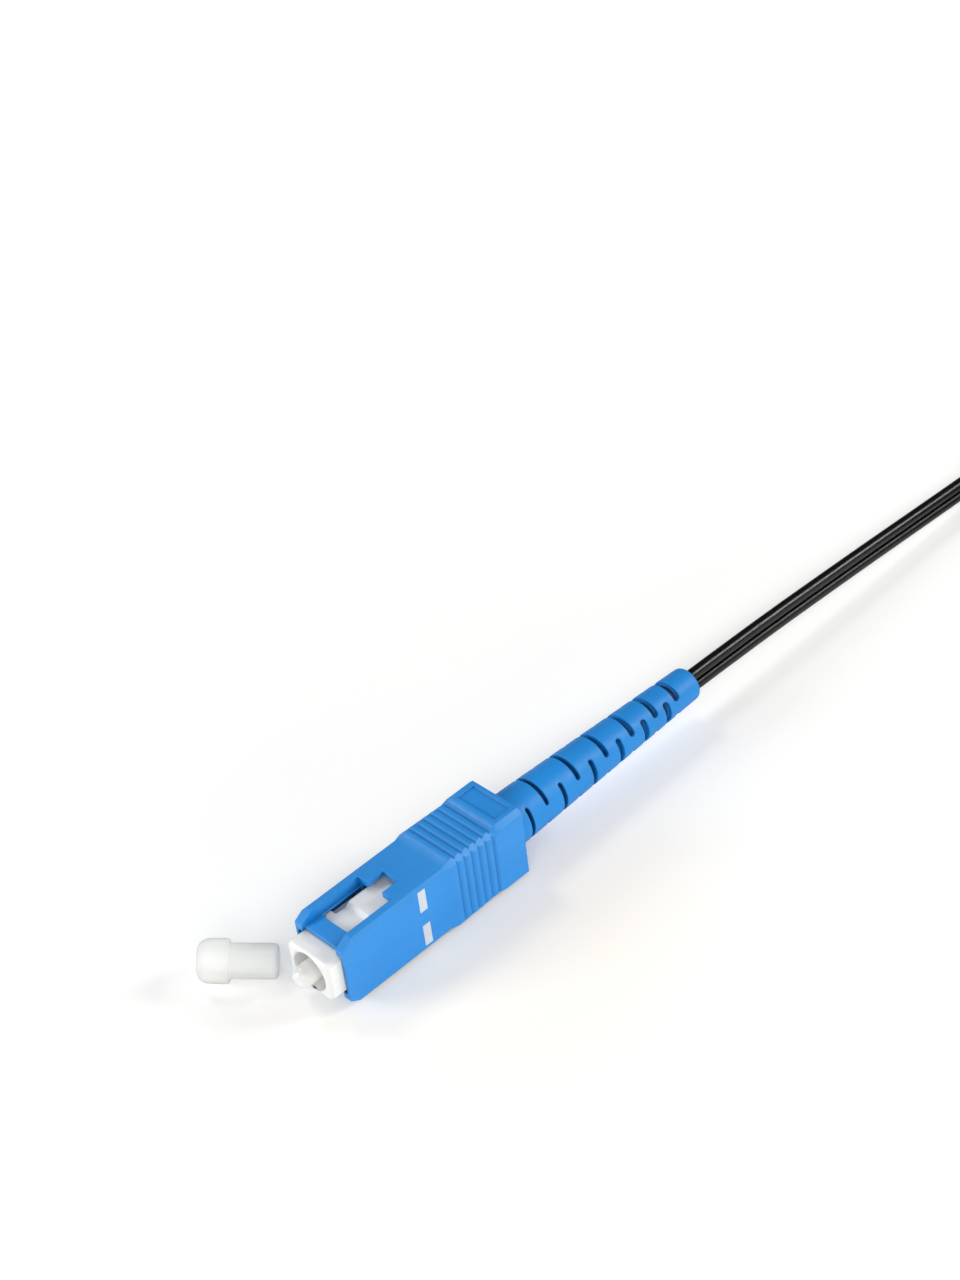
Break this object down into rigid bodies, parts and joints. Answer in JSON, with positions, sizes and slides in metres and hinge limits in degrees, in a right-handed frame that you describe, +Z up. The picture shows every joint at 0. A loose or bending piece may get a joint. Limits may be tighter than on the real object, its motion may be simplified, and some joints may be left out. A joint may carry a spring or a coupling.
{
  "type": "sc fibre connector",
  "caption": "Push-pull fibre connector with a blue square housing, slotted boot, flat black cable in a tied coil, and its clear dust cap lying beside the nose.",
  "frame": {"origin": "centre of the ferrule's polished tip, on the connector's axis", "axes": "+X along the connector from the ferrule towards the cable, +Z up through the upper latch slot, +Y through the key rib"},
  "size_m": [0.1635, 0.0546, 0.0098],
  "materials": {
    "ceramic": "polished zirconia ceramic",
    "flange_metal": "nickel plated",
    "frame_plastic": "white, moulded, semi-gloss",
    "housing_plastic": "blue, moulded, semi-gloss",
    "mark_plastic": "white inlay",
    "spring_steel": "drawn wire",
    "stop_metal": "nickel plated brass",
    "crimp_metal": "pressed, plain",
    "shrink_plastic": "black heat shrink",
    "buffer_plastic": "white buffer tube",
    "rod_steel": "plain steel wire",
    "boot_rubber": "blue elastomer, satin",
    "cable_jacket": "black jacket, glossy",
    "tie_plastic": "black wrap tie",
    "cap_plastic": "clear-white soft plastic, translucent"
  },
  "bodies": {
    "plug": {"plug_frame": "frame_plastic", "stop_ring": "stop_metal", "crimp_ring": "crimp_metal", "shrink_tube": "shrink_plastic", "fibre_tube": "buffer_plastic", "strength_members": "rod_steel", "spring": "spring_steel", "strain_relief_boot": "boot_rubber", "cable": "cable_jacket", "cable_coil": "cable_jacket", "coil_ties": "tie_plastic", "dust_cap": "cap_plastic"},
    "grip": {"outer_housing": "housing_plastic", "insertion_marks": "mark_plastic"},
    "floating_ferrule": {"ferrule": "ceramic", "ferrule_flange": "flange_metal"}
  },
  "joints": [
    {"name": "grip_slide", "type": "slide", "parent": "plug", "child": "grip", "axis": [1, 0, 0], "range_m": [-0.0005, 0.0012]},
    {"name": "ferrule_float", "type": "slide", "parent": "plug", "child": "floating_ferrule", "axis": [1, 0, 0], "range_m": [0, 0.0012], "stiffness_N_per_m": 2000, "deforming": ["spring"]}
  ]
}
